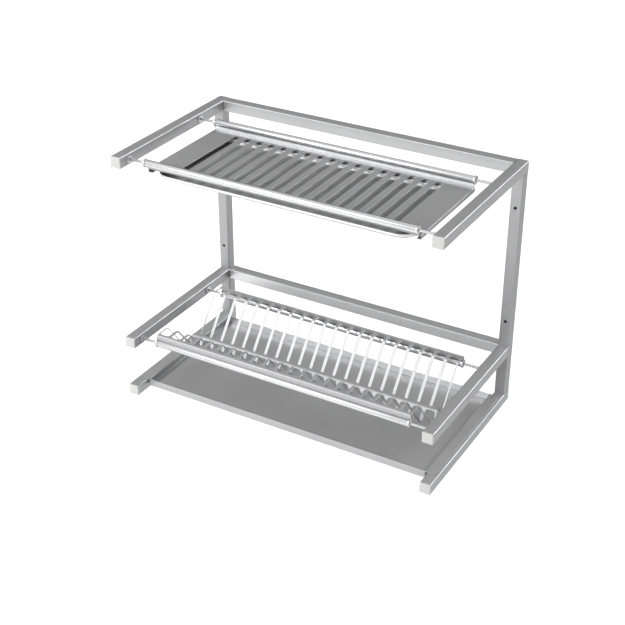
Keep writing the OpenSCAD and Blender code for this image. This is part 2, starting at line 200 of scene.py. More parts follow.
lamps = [soft_lamp("key_lamp", KEY_AT, KEY_TO, KEY_SIZE, KEY_WATTS),
         soft_lamp("low_lamp", LOW_AT, LOW_TO, LOW_SIZE, LOW_WATTS)]
print("lamps:", [(lamp.name, lamp.data.energy) for lamp in lamps])

# %% [markdown]
# No real surface is quite even. Noise on Object coordinates stays fixed to the piece, and one
# stretch along each axis turns it into long brushing lines, specks or wide clouds. The helpers
# here map that noise onto a range of roughness or onto two greys.

# %% Noise for the finishes
NOISE_RANGE = (0.3, 0.7)  # where most of the noise's values lie


def mapped_noise(tree, stretch, detail=3.0):
    """Noise on Object coordinates, scaled by stretch along each axis. Returns its Fac output."""
    coords = tree.nodes.new("ShaderNodeTexCoord")
    mapping = tree.nodes.new("ShaderNodeMapping")
    mapping.inputs["Scale"].default_value = stretch
    noise = tree.nodes.new("ShaderNodeTexNoise")
    noise.inputs["Scale"].default_value = 1.0
    noise.inputs["Detail"].default_value = detail
    tree.links.new(coords.outputs["Object"], mapping.inputs["Vector"])
    tree.links.new(mapping.outputs["Vector"], noise.inputs["Vector"])
    return noise.outputs["Fac"]


def spread(tree, value, low, high):
    """Maps noise around its middle onto the range from low to high."""
    ramp = tree.nodes.new("ShaderNodeMapRange")
    ramp.inputs["From Min"].default_value, ramp.inputs["From Max"].default_value = NOISE_RANGE
    ramp.inputs["To Min"].default_value, ramp.inputs["To Max"].default_value = low, high
    tree.links.new(value, ramp.inputs["Value"])
    return ramp.outputs["Result"]


def clouded(tree, factor, tone, change):
    """A tone that drifts by a share darker and lighter with the factor."""
    mix = tree.nodes.new("ShaderNodeMix")
    mix.data_type = "RGBA"
    mix.inputs["A"].default_value = (*(c * (1 - change) for c in tone), 1.0)
    mix.inputs["B"].default_value = (*(min(1.0, c * (1 + change)) for c in tone), 1.0)
    tree.links.new(factor, mix.inputs["Factor"])
    return mix.outputs["Result"]


RELIEF_DEPTH = 0.0002  # height of the grain in a bump, metres


def grain_relief(tree, shader, grain, strength):
    """A shallow bump from a grain."""
    relief = tree.nodes.new("ShaderNodeBump")
    relief.inputs["Strength"].default_value = strength
    relief.inputs["Distance"].default_value = RELIEF_DEPTH
    tree.links.new(grain, relief.inputs["Height"])
    tree.links.new(relief.outputs["Normal"], shader.inputs["Normal"])


print("noise range:", NOISE_RANGE, "relief:", RELIEF_DEPTH)

# %% [markdown]
# The square tube is brushed along its length, as belt-ground stock is. The grain is noise that
# is stretched some hundred times along the tube: it sets the roughness and a very shallow bump.
# Each run of tube gets the same finish turned to its own direction. A little anisotropy widens
# the highlights across the brushing.

# %% Brushed steel
GRAIN_ALONG = 6.0      # noise cells per metre along the brushing
GRAIN_ACROSS = 1800.0  # and across it
STEEL_CLOUDS, STEEL_DRIFT = 9.0, 0.05  # clouds per metre, and their share of the tone
STREAKING = 0.35       # anisotropy of the highlights
EDGE_TINT = (0.42, 0.42, 0.42, 1.0)    # what a grazing view mirrors, beside a clean mirror


def brushed_steel(name, axis, tone, roughness, bump=0.06, metal=0.6):
    """Steel brushed along axis 0, 1 or 2, with a base grey and a roughness range. Below 1, metal
    leaves a part of the light scattered, as a coarse ground surface does."""
    matter = bpy.data.materials.new(name)
    matter.use_nodes = True
    tree = matter.node_tree
    shader = tree.nodes["Principled BSDF"]
    shader.inputs["Metallic"].default_value = metal
    shader.inputs["Anisotropic"].default_value = STREAKING
    shader.inputs["Specular Tint"].default_value = EDGE_TINT
    stretch = [GRAIN_ACROSS] * 3
    stretch[axis] = GRAIN_ALONG
    grain = mapped_noise(tree, stretch)
    cloud = mapped_noise(tree, [STEEL_CLOUDS] * 3, detail=1.0)
    tree.links.new(spread(tree, grain, *roughness), shader.inputs["Roughness"])
    tree.links.new(clouded(tree, cloud, tone, STEEL_DRIFT), shader.inputs["Base Color"])
    grain_relief(tree, shader, grain, bump)
    return matter


print("grain cells per metre:", GRAIN_ALONG, "along,", GRAIN_ACROSS, "across")

# %% [markdown]
# A real rack shows several steels. The square tube is ground, the sheet is satin, and the round
# tubes are polished. Inside the pan the floor is rough, and its darker tone is painted shade under
# the shelf. The pan's inner walls get a near-white, almost matt tone, as painted light seen through
# the slots. The tray's rear wall, the shelf's rear edge and the middle cross tube's front face get
# much lighter tones than the rest of their steel, as painted highlights. They differ in tone, in
# roughness and in how much of the light is scattered, so one recipe with other numbers makes them
# all.

# %% The steels of this rack
TUBE_TONE = (0.33, 0.33, 0.334)
POST_TONE = (0.285, 0.285, 0.289)
SHEET_TONE = (0.335, 0.335, 0.339)
TUBE_ROUGHNESS = (0.28, 0.42)
tube_x = brushed_steel("tube_steel_x", 0, TUBE_TONE, TUBE_ROUGHNESS)
tube_y = brushed_steel("tube_steel_y", 1, TUBE_TONE, TUBE_ROUGHNESS)
tube_z = brushed_steel("tube_steel_z", 2, POST_TONE, TUBE_ROUGHNESS)
sheet_x = brushed_steel("sheet_steel_x", 0, SHEET_TONE, (0.42, 0.5), bump=0.03)
shelf_x = brushed_steel("shelf_steel_x", 0, (0.3, 0.3, 0.304), (0.38, 0.46), bump=0.03)
bright_x = brushed_steel("polished_steel_x", 0, (0.49, 0.49, 0.495), (0.24, 0.3),
                         bump=0.01, metal=0.9)
pan_x = brushed_steel("bright_pan_x", 0, (0.51, 0.51, 0.515), (0.16, 0.22),
                      bump=0.01, metal=0.85)
# Pan floor: rougher than the pan's outside, and its darker tone is painted shade under the shelf.
pan_floor_rough_painted_shade_x = brushed_steel("pan_floor_rough_painted_shade_x", 0, (0.42, 0.42, 0.424), (0.5, 0.58),
                            bump=0.02, metal=0.9)
# Inner walls of the pan: a near-white, almost matt tone, painted light seen through the slots.
pan_wall_painted_light_x = brushed_steel("pan_wall_painted_light_x", 0, (0.95, 0.95, 0.95), (0.4, 0.5),
                           bump=0.02, metal=0.05)
# Shelf's rear edge: smoother, as polished, and its much lighter tone is a painted highlight.
shelf_edge_painted_highlight_x = brushed_steel("polished_edge_painted_highlight_x", 0, (0.88, 0.88, 0.885), (0.3, 0.36),
                             bump=0.01, metal=0.9)
# Tray's rear wall: smoother than the floor, and its much lighter tone is painted light.
tray_wall_painted_light_x = brushed_steel("bright_wall_painted_light_x", 0, (0.85, 0.85, 0.855), (0.3, 0.36),
                            bump=0.01, metal=0.9)
# Front face of the middle cross tube: a lighter tone, painted light on that face.
tube_front_painted_light_x = brushed_steel("tube_steel_front_painted_light_x", 0, (0.56, 0.56, 0.565),
                            TUBE_ROUGHNESS, metal=0.7)
steels = (tube_x, tube_y, tube_z, sheet_x, shelf_x, bright_x, pan_x, pan_floor_rough_painted_shade_x, pan_wall_painted_light_x,
          shelf_edge_painted_highlight_x, tray_wall_painted_light_x, tube_front_painted_light_x)
print("steels:", [steel.name for steel in steels])

# %% [markdown]
# The end caps are plastic and don't show the room as steel does. They get a plain colour with fine
# moulded grain in the bump and the roughness, so that they stay soft beside the metal.

# %% Cap plastic
SPECKS = 2500.0        # specks per metre of the moulded grain
CAP_CLOUDS, CAP_DRIFT = 60.0, 0.04     # clouds per metre, and their share of the tone
SPECK_BUMP = 0.08


def moulded(name, tone, roughness):
    """Moulded plastic with a fine grain."""
    matter = bpy.data.materials.new(name)
    matter.use_nodes = True
    tree = matter.node_tree
    shader = tree.nodes["Principled BSDF"]
    speck = mapped_noise(tree, [SPECKS] * 3, detail=2.0)
    cloud = mapped_noise(tree, [CAP_CLOUDS] * 3, detail=1.0)
    tree.links.new(spread(tree, speck, *roughness), shader.inputs["Roughness"])
    tree.links.new(clouded(tree, cloud, tone, CAP_DRIFT), shader.inputs["Base Color"])
    grain_relief(tree, shader, speck, SPECK_BUMP)
    return matter


cap_plastic = moulded("cap_plastic", (0.375, 0.375, 0.372), (0.35, 0.5))
print("plastic:", cap_plastic.name)

# %% [markdown]
# Every piece is placed in the same way. Its mesh gets a finish, and its faces are shaded smooth
# except across edges that turn steeply, so a rounded tube edge draws one clean bright line. The
# piece then rides on the body that carries it and stands for the nodes that it replaces. Where a
# part of it differs in roughness, or carries painted light and shade, those faces get a finish of
# their own.

# %% A helper that finishes a mesh as a piece of the rack
SHARP = math.radians(28)  # edges steeper than this stay sharp


def place_piece(mesh, name, body, slot, finish, *replaced):
    """Links a mesh as a piece that rides on a body and stands for frame nodes."""
    mesh.materials.clear()
    mesh.materials.append(finish)
    mesh.shade_smooth()
    mesh.set_sharp_from_angle(angle=SHARP)
    piece = bpy.data.objects.new(name, mesh)
    scene.collection.objects.link(piece)
    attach(piece, body)
    if replaced:
        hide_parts(*replaced)
    return piece


def refinish(piece, finish, chosen):
    """Gives chosen faces another finish, unless they have one already. Returns their number."""
    piece.data.materials.append(finish)
    index = len(piece.data.materials) - 1
    faces = [f for f in piece.data.polygons if f.material_index == 0 and chosen(f)]
    for face in faces:
        face.material_index = index
    return len(faces)


print("edges stay sharp from", round(math.degrees(SHARP)), "degrees")

# %% [markdown]
# The square tubes and the caps come from the construction with exact shapes, but as loose
# triangles that catch the light one by one. So each is copied, and its triangles are joined along
# their shared corners. That keeps the real hollow ends, wall holes and rounded edges. The front
# face of the middle cross tube gets a much lighter, partly scattering tone: painted light on that
# face.

# %% Square tubes and end caps
JOIN = 0.00001            # corners closer than this are one corner, metres
FRONTAL = -0.99           # faces whose normal's y is below this look straight to the front
SIDES = ("left", "right")
LEVELS = ("top", "middle", "bottom")


def joined_copy(node):
    """A copy of a node's mesh whose triangles share their corners."""
    mesh = nodes[node].data.copy()
    shape = bmesh.new()
    shape.from_mesh(mesh)
    bmesh.ops.remove_doubles(shape, verts=shape.verts, dist=JOIN)
    shape.to_mesh(mesh)
    shape.free()
    for attribute in [a.name for a in mesh.attributes if a.name == "custom_normal"]:
        mesh.attributes.remove(mesh.attributes[attribute])
    return mesh


copies = []
for side in SIDES:
    post = side + "_post"
    copies.append(place_piece(joined_copy(post), post + "_tube", "frame", "tube_steel", tube_z,
                              post))
    for level in LEVELS:
        arm = f"{side}_{level}_arm"
        cap = f"{side}_{level}_cap"
        copies.append(place_piece(joined_copy(arm), arm + "_tube", "frame", "tube_steel", tube_y,
                                  arm))
        copies.append(place_piece(joined_copy(cap), cap + "_moulding", "frame", "cap_plastic",
                                  cap_plastic, cap))
for level in LEVELS[:2]:
    cross = level + "_cross_tube"
    copies.append(place_piece(joined_copy(cross), cross + "_brushed", "frame", "tube_steel",
                              tube_x, cross))
# The front faces of the middle cross tube get the lighter tone: painted light.
front_faces = refinish(copies[-1], tube_front_painted_light_x, lambda face: face.normal.y < FRONTAL)
print("square tubes and caps:", len(copies), "finer faces:", front_faces)

# %% [markdown]
# Rods, round tubes, bushes and collars are turned pieces. A side view of half the piece is enough:
# each corner of it is a distance along the axis and a radius, and the outline is swept once round
# the axis. A small chamfer on every outer edge keeps the highlights from ending in a hard line.

# %% A helper for turned pieces
ROUND_STEPS = 64          # sides of a full circle
EASE_MIDDLE = 0.3         # where the middle corner of an eased edge lies, as a share of the easing


def turned_mesh(name, outline, places):
    """A closed ring outline of (x, radius) corners, swept round X at each (side, y, z)."""
    shape = bmesh.new()
    for side, y, z in places:
        rings = []
        for along, radius in outline:
            ring = []
            for k in range(ROUND_STEPS):
                angle = 2 * math.pi * k / ROUND_STEPS
                ring.append(shape.verts.new((side * along, y + radius * math.cos(angle),
                                             z + radius * math.sin(angle))))
            rings.append(ring)
        for here, after in zip(rings, rings[1:] + rings[:1]):
            for k in range(ROUND_STEPS):
                m = (k + 1) % ROUND_STEPS
                shape.faces.new((here[k], here[m], after[m], after[k]))
    bmesh.ops.recalc_face_normals(shape, faces=shape.faces)
    mesh = bpy.data.meshes.new(name)
    shape.to_mesh(mesh)
    shape.free()
    return mesh


def eased(x0, x1, outer, inner, ease):
    """The outline of a ring from x0 to x1 with eased outer edges."""
    middle = ease * EASE_MIDDLE
    return [(x0, inner), (x0, outer - ease), (x0 + middle, outer - middle), (x0 + ease, outer),
            (x1 - ease, outer), (x1 - middle, outer - middle), (x1, outer - ease), (x1, inner)]


print("sides of a turned piece:", ROUND_STEPS)

# %% [markdown]
# A rod runs from arm to arm, and a round tube sits round its middle on two bushes. Both are rings
# on the same axis. A rod is a full bar in truth: a ring with a hole as thin as a hair stands for
# it, so that one outline serves both.

# %% Outlines of the rods and the round tubes
MOUNT_H = 0.3485                      # height of the wall holes' centre above the underside
ROD_Y = {"front": -0.380, "rear": -0.118}
ROD_Z = {"shelf": 0.5725 - MOUNT_H, "rack": 0.1375 - MOUNT_H}
HALF_RACK = 0.315                     # half the width of the shelf and the plate rack
ARM_X = 0.355                         # inner faces of the arms
TUBE_R, TUBE_BORE = 0.008, 0.007
ROD_R, ROD_HOLE = 0.003, 0.00305
ROD_CORE = 0.0002                     # radius of the thin hole in a rod's middle
ROD_END = ARM_X + 0.012               # the rods end in their seats inside the arms
BUSH_T = 0.0045                       # what shows of a bush
TUBE_END = HALF_RACK - BUSH_T
EASE = 0.0006

round_tube = eased(-TUBE_END, TUBE_END, TUBE_R, TUBE_BORE, EASE / 3)
rod = eased(-ROD_END, ROD_END, ROD_R, ROD_CORE, EASE)
print("length of a round tube:", round(2 * TUBE_END, 4), "of a rod:", round(2 * ROD_END, 4))

# %% [markdown]
# A bush closes each end of a round tube: its head shows, and its plug sits in the bore. A collar
# lies on the arm where the rod enters, with a neck in the arm's wall. Each outline is an eased ring
# with a few corners more.

# %% Outlines of the bushes and the collars
BUSH_R, BUSH_PLUG, PLUG_GAP = 0.00925, 0.012, 0.00005
COLLAR_R, COLLAR_T, COLLAR_NECK_R, COLLAR_NECK = 0.009, 0.0025, 0.00595, 0.006

plug_r = TUBE_BORE - PLUG_GAP
bush = [(TUBE_END - BUSH_PLUG, ROD_HOLE), (TUBE_END - BUSH_PLUG, plug_r), (TUBE_END, plug_r)]
bush += eased(TUBE_END, HALF_RACK, BUSH_R, ROD_HOLE, EASE)[1:]
collar = eased(ARM_X - COLLAR_T, ARM_X, COLLAR_R, ROD_HOLE, EASE)[:-1]
collar += [(ARM_X, COLLAR_NECK_R), (ARM_X + COLLAR_NECK, COLLAR_NECK_R),
           (ARM_X + COLLAR_NECK, ROD_HOLE)]
print("corners of a bush:", len(bush), "of a collar:", len(collar))

# %% [markdown]
# The shelf and the plate rack hang on the same set of turned pieces, so one loop makes both sets.
# A round tube or a rod is swept once. A bush or a collar is swept four times into one mesh, and
# mirrored for the left side. The small vent plugs of the middle arms are copied as they are.

# %% Turned pieces and vent plugs
def place_bright(outline, places, name, node):
    """Sweeps an outline at its places as a polished piece of the frame."""
    return place_piece(turned_mesh(name, outline, places), name, "frame", "polished_steel",
                       bright_x, node)


turned = []
for level, z in ROD_Z.items():
    for end, y in ROD_Y.items():
        row = f"{level}_{end}"
        turned.append(place_bright(round_tube, [(1, y, z)], row + "_round_tube", row + "_tube"))
        turned.append(place_bright(rod, [(1, y, z)], row + "_round_rod", row + "_rod"))
    ends = [(side, y, z) for side in (-1, 1) for y in ROD_Y.values()]
    turned.append(place_bright(bush, ends, level + "_turned_bushes", level + "_bushes"))
    turned.append(place_bright(collar, ends, level + "_turned_collars", level + "_collars"))
place_piece(joined_copy("middle_arm_plugs"), "vent_plugs", "frame", "tube_steel", tube_x,
            "middle_arm_plugs")
print("turned pieces:", len(turned))

# %% [markdown]
# The sheets are folded on a press, so they are best thought of as a line of folds seen from the
# side. A fold line turns a few corners and bend radii into many close points. The same helper
# serves the shelf and the plate rack, and thickness comes last, from a Solidify modifier.

# %% A line of folds
BEND_STEPS = 8        # flat parts of a bend


def fold_line(corners, radii):
    """Points (y, z) along a folded strip seen from the side, with a round bend at each corner."""
    corners = [Vector(c) for c in corners]
    line = [corners[0]]
    for before, here, after, radius in zip(corners, corners[1:], corners[2:], radii):
        a, b = (here - before).normalized(), (after - here).normalized()
        turn = math.atan2(a.x * b.y - a.y * b.x, a.dot(b))
        start = here - a * radius * math.tan(abs(turn) / 2)
        way = 1 if turn > 0 else -1
        centre = start + Vector((-a.y, a.x)) * way * radius
        arm_out = start - centre
        for k in range(BEND_STEPS + 1):
            c, s = math.cos(turn * k / BEND_STEPS), math.sin(turn * k / BEND_STEPS)
            line.append(centre + Vector((arm_out.x * c - arm_out.y * s,
                                         arm_out.x * s + arm_out.y * c)))
    line.append(corners[-1])
    return line


def with_stops(line, stops):
    """The same line with extra points wherever y passes a stop."""
    out = [line[0]]
    for here, after in zip(line, line[1:]):
        if abs(after.x - here.x) > JOIN:
            low, high = sorted((here.x, after.x))
            inside = sorted((s for s in stops if low + JOIN < s < high - JOIN),
                            reverse=after.x < here.x)
            out += [here.lerp(after, (s - here.x) / (after.x - here.x)) for s in inside]
        out.append(after)
    return out


print("points in a bend:", BEND_STEPS + 1)

# %% [markdown]
# A slot is a rectangle with rounded corners, as seen from above. The folded line gets a point
# wherever the slot's outline needs one, and at each point the slot says how wide it is there. So
# the corners stay round on a bent sheet too, as if they were cut upright.

# %% A slot seen from above
CORNER_STEPS = 6      # flat parts of a slot's rounded corner


class Slot:
    """A slot from y0 to y1, w wide, with corner radii r0 and r1 at its two ends."""

    def __init__(self, y0, y1, w, r0, r1):
        self.y0, self.y1, self.w, self.r0, self.r1 = y0, y1, w, r0, r1

    def stops(self):
        """Places along y where its outline needs a point."""
        steps = [1 - math.cos(math.pi / 2 * k / CORNER_STEPS) for k in range(CORNER_STEPS + 1)]
        return [self.y0 + self.r0 * t for t in steps] + [self.y1 - self.r1 * t for t in steps]

    def half_width(self, y):
        """Half its width at y, or None outside it."""
        if y < self.y0 - JOIN or y > self.y1 + JOIN:
            return None
        if y < self.y0 + self.r0:
            short, r = self.y0 + self.r0 - y, self.r0
        elif y > self.y1 - self.r1:
            short, r = y - self.y1 + self.r1, self.r1
        else:
            short, r = 0.0, 0.0
        return self.w / 2 - r + math.sqrt(max(r * r - short * short, 0.0))

    def end_half(self, y):
        """Half the width of its straight end that is nearest to y."""
        return self.w / 2 - (self.r0 if abs(y - self.y0) < abs(y - self.y1) else self.r1)


print("stops along a slot:", 2 * (CORNER_STEPS + 1))

# %% [markdown]
# One slot and the halves of the ribs beside it make a cell of the sheet, a pitch wide. Its mesh has
# four points in each row: two at the cell's sides and two at the slot's edge. Between the slots
# the middle strip is filled as well.

# %% One cell of a slotted sheet
def cell_mesh(name, line, slots, pitch):
    """One cell of a slotted strip, a pitch wide: two ribs' halves and the strips between slots."""
    shape = bmesh.new()
    rows = []
    for point in line:
        nearest = min(slots, key=lambda s: min(abs(point.x - s.y0), abs(point.x - s.y1)))
        half = next((h for h in (s.half_width(point.x) for s in slots) if h is not None), None)
        if half is None:
            half = nearest.end_half(point.x)
        rows.append([shape.verts.new((x, point.x, point.y))
                     for x in (-pitch / 2, -half, half, pitch / 2)])
    for i, (here, after) in enumerate(zip(rows, rows[1:])):
        middle = (line[i].x + line[i + 1].x) / 2
        cut = any(s.y0 < middle < s.y1 for s in slots)
        for k in (0, 2) if cut else (0, 1, 2):
            shape.faces.new((here[k], here[k + 1], after[k + 1], after[k]))
    bmesh.ops.dissolve_degenerate(shape, edges=shape.edges, dist=JOIN)
    mesh = bpy.data.meshes.new(name)
    shape.to_mesh(mesh)
    shape.free()
    return mesh


print("points in each row of a cell:", 4)

# %% [markdown]
# The press repeats the cell along the sheet, and so does this Geometry Nodes tree: it sets out a
# row of points, puts a cell on each, makes them real, adds any plain parts of the sheet and joins
# everything edge to edge. The pitch, the count and the finish are inputs, so the same tree serves
# the shelf and the plate rack.

# %% Geometry Nodes: a row of cells
def row_tree():
    """The cell, repeated along X and joined to the plain parts of the sheet."""
    tree = bpy.data.node_groups.new("row_of_cells", "GeometryNodeTree")
    for name, kind in (("Cell", "NodeSocketGeometry"), ("Count", "NodeSocketInt"),
                       ("Pitch", "NodeSocketFloat"), ("Plain parts", "NodeSocketObject"),
                       ("Join distance", "NodeSocketFloat"), ("Finish", "NodeSocketMaterial")):
        tree.interface.new_socket(name, in_out="INPUT", socket_type=kind)
    tree.interface.new_socket("Sheet", in_out="OUTPUT", socket_type="NodeSocketGeometry")
    add, link = tree.nodes.new, tree.links.new
    given, made = add("NodeGroupInput"), add("NodeGroupOutput")
    gaps = add("ShaderNodeMath")
    gaps.operation = "SUBTRACT"
    gaps.inputs[1].default_value = 1.0
    span = add("ShaderNodeMath")
    span.operation = "MULTIPLY"
    start = add("ShaderNodeMath")
    start.operation = "MULTIPLY"
    start.inputs[1].default_value = -0.5
    first, step = add("ShaderNodeCombineXYZ"), add("ShaderNodeCombineXYZ")
    points = add("GeometryNodeMeshLine")
    copies = add("GeometryNodeInstanceOnPoints")
    real = add("GeometryNodeRealizeInstances")
    plain = add("GeometryNodeObjectInfo")
    both = add("GeometryNodeJoinGeometry")
    merge = add("GeometryNodeMergeByDistance")
    finish = add("GeometryNodeSetMaterial")
    link(given.outputs["Count"], gaps.inputs[0])
    link(gaps.outputs[0], span.inputs[0])
    link(given.outputs["Pitch"], span.inputs[1])
    link(span.outputs[0], start.inputs[0])
    link(start.outputs[0], first.inputs["X"])
    link(given.outputs["Pitch"], step.inputs["X"])
    link(given.outputs["Count"], points.inputs["Count"])
    link(first.outputs["Vector"], points.inputs["Start Location"])
    link(step.outputs["Vector"], points.inputs["Offset"])
    link(points.outputs["Mesh"], copies.inputs["Points"])
    link(given.outputs["Cell"], copies.inputs["Instance"])
    link(given.outputs["Plain parts"], plain.inputs["Object"])
    link(copies.outputs["Instances"], both.inputs["Geometry"])
    link(plain.outputs["Geometry"], both.inputs["Geometry"])
    link(both.outputs["Geometry"], real.inputs["Geometry"])
    link(real.outputs["Geometry"], merge.inputs["Geometry"])
    link(given.outputs["Join distance"], merge.inputs["Distance"])
    link(merge.outputs["Geometry"], finish.inputs["Geometry"])
    link(given.outputs["Finish"], finish.inputs["Material"])
    link(finish.outputs["Geometry"], made.inputs["Sheet"])
    return tree


ROW_TREE = row_tree()
print("nodes in the tree:", len(ROW_TREE.nodes))

# %% [markdown]
# The sheet is a surface without thickness up to here. Solidify gives it the thickness of the
# metal, and a very narrow Bevel eases the cut edges, as tumbling does in a workshop. Then the
# evaluated result is taken as a plain mesh, and the modifiers are gone with the blank.

# %% From cell to sheet
SHEET_T = 0.001       # thickness of the sheet metal
SHEET_EASE = 0.00018  # easing of its cut edges
EASED_FROM = math.radians(60)  # edges steeper than this are eased


def set_inputs(modifier, values):
    """Sets a Geometry Nodes modifier's inputs by the names of its tree's sockets."""
    for item in modifier.node_group.interface.items_tree:
        if item.in_out == "INPUT" and item.name in values:
            modifier[item.identifier] = values[item.name]


def sheet_mesh(name, cell, count, pitch, plain, finish):
    """The whole sheet from its cell: repeated, joined, thickened and eased, as a plain mesh."""
    blank = bpy.data.objects.new(name, cell)
    scene.collection.objects.link(blank)
    row = blank.modifiers.new("row", "NODES")
    row.node_group = ROW_TREE
    set_inputs(row, {"Count": count, "Pitch": pitch, "Plain parts": plain,
                     "Join distance": JOIN, "Finish": finish})
    thick = blank.modifiers.new("thickness", "SOLIDIFY")
    thick.thickness, thick.offset, thick.use_even_offset = SHEET_T, 0.0, True
    ease = blank.modifiers.new("eased edges", "BEVEL")
    ease.width, ease.segments, ease.limit_method = SHEET_EASE, 1, "ANGLE"
    ease.angle_limit = EASED_FROM
    graph = bpy.context.evaluated_depsgraph_get()
    mesh = bpy.data.meshes.new_from_object(blank.evaluated_get(graph), depsgraph=graph)
    bpy.data.objects.remove(blank)
    mesh.name = name
    return mesh


print("sheet:", SHEET_T * MM, "mm")

# %% [markdown]
# The plate rack is the hardest piece of the real product: one sheet, slotted in two rows, then
# folded into two valleys with a crest between them. The plates stand in the slots with their
# edges in the valleys. The slots run over the two ridges, so the ribs look like bent wires from
# above, but each is a strip of sheet.

# %% Plate rack
SPAN = ROD_Y["rear"] - ROD_Y["front"]
RIDGE_Z = ROD_Z["rack"] + 0.0195
VALLEY_1 = (ROD_Y["front"] + 0.433 * SPAN, RIDGE_Z - 0.0955)
CREST = (ROD_Y["front"] + 0.5305 * SPAN, RIDGE_Z - 0.0605)
VALLEY_2 = (ROD_Y["front"] + 0.609 * SPAN, RIDGE_Z - 0.091)
FRONT_RIDGE, REAR_RIDGE = 0.039, 0.030  # depth of the flat ridges over the round tubes
RACK_BEND, CREST_BEND = 0.0025, 0.008
PLATE_PITCH, PLATE_SLOTS = 0.030, 21
PLATE_SLOT_W, RIDGE_CORNER, CREST_CORNER = 0.0225, 0.006, 0.004
RIDGE_STRIP, CREST_STRIP = 0.008, 0.014  # plain strips that the slots leave
TUBE_TOUCH = 0.0001                     # how far a sheet's edge reaches into its round tube

on_tube = ROD_Z["rack"] + TUBE_R - TUBE_TOUCH
rack_line = fold_line(
    [(ROD_Y["front"], on_tube), (ROD_Y["front"], RIDGE_Z),
     (ROD_Y["front"] + FRONT_RIDGE, RIDGE_Z), VALLEY_1, CREST, VALLEY_2,
     (ROD_Y["rear"] - REAR_RIDGE, RIDGE_Z), (ROD_Y["rear"], RIDGE_Z),
     (ROD_Y["rear"], on_tube)],
    [RACK_BEND, RACK_BEND, RACK_BEND, CREST_BEND, RACK_BEND, RACK_BEND, RACK_BEND])
plate_slots = [Slot(ROD_Y["front"] + RIDGE_STRIP, CREST[0] - CREST_STRIP / 2, PLATE_SLOT_W,
                    RIDGE_CORNER, CREST_CORNER),
               Slot(CREST[0] + CREST_STRIP / 2, ROD_Y["rear"] - RIDGE_STRIP, PLATE_SLOT_W,
                    CREST_CORNER, RIDGE_CORNER)]
rack_line = with_stops(rack_line, plate_slots[0].stops() + plate_slots[1].stops())
rack_cell = cell_mesh("plate_rack_cell", rack_line, plate_slots, PLATE_PITCH)
plate_rack = place_piece(
    sheet_mesh("folded_plate_rack", rack_cell, PLATE_SLOTS, PLATE_PITCH, None, sheet_x),
    "folded_plate_rack", "frame", "sheet_steel", sheet_x, "plate_rack_sheet")
print("plate rack rows:", len(rack_line), "faces:", len(plate_rack.data.polygons))

# %% [markdown]
# The shelf is flat between its bends. Its slots have round ends and let the water through to the
# drip pan. Its front edge meets the tube a little behind the tube's middle. The same kind of line
# and cell as for the plate rack makes it, with one slot instead of two.

# %% Shelf: its line and its cell
SHELF_Z = 0.5565 - MOUNT_H            # middle of the shelf's sheet
SHELF_BEND, FRONT_BEND, REAR_BEND = 0.0015, 0.006, 0.0008
SHELF_PITCH, SHELF_SLOTS = 0.0305, 17
SHELF_SLOT_W, SLOT_STRIP = 0.015, 0.013  # slot width, and the plain strip at each of its ends
FRONT_SET = 0.0045                    # how far the front edge stands behind the rod's axis
FRONT_TOUCH = 0.0003                  # how far that edge reaches into the round tube
FLANGE_Y = (ROD_Y["front"] + 0.011, ROD_Y["rear"] - 0.0035)

shelf_front = ROD_Y["front"] + FRONT_SET
front_top = ROD_Z["shelf"] - math.sqrt(TUBE_R ** 2 - FRONT_SET ** 2) + FRONT_TOUCH
shelf_line = fold_line(
    [(shelf_front, front_top), (shelf_front, SHELF_Z),
     (ROD_Y["rear"], SHELF_Z), (ROD_Y["rear"], ROD_Z["shelf"] - TUBE_R + TUBE_TOUCH)],
    [FRONT_BEND, REAR_BEND])
shelf_slot = Slot(ROD_Y["front"] + SLOT_STRIP, ROD_Y["rear"] - SLOT_STRIP, SHELF_SLOT_W,
                  SHELF_SLOT_W / 2, SHELF_SLOT_W / 2)
shelf_line = with_stops(shelf_line, shelf_slot.stops() + list(FLANGE_Y))
shelf_cell = cell_mesh("shelf_cell", shelf_line, [shelf_slot], SHELF_PITCH)
print("shelf rows:", len(shelf_line))

# %% [markdown]
# The plain parts beside the slots carry side flanges that turn in at the bottom as lips, where
# the pan slides. They are made once, on the right, and mirrored. A stop strip under the shelf ends
# the pan's way. All of it is joined to the row of cells before the sheet gets its thickness. The
# rear edge, where it meets the tube, gets a smoother finish with a much lighter tone: polish, and
# a painted highlight along that edge.

# %% Shelf: its sides, and the whole sheet
FLANGE_H, LIP_W = 0.0095, 0.0105
STOP_X, STOP_Y, STOP_Z = 0.303, -0.130, 0.548 - MOUNT_H
RELIEF = 0.0025                       # corner relief between the upturned edges and the flanges
EDGE_BAND = 0.0007                    # the rear edge's faces lie this near to the rod's axis
LEVEL = 0.9                           # how far a level face's normal points up or down


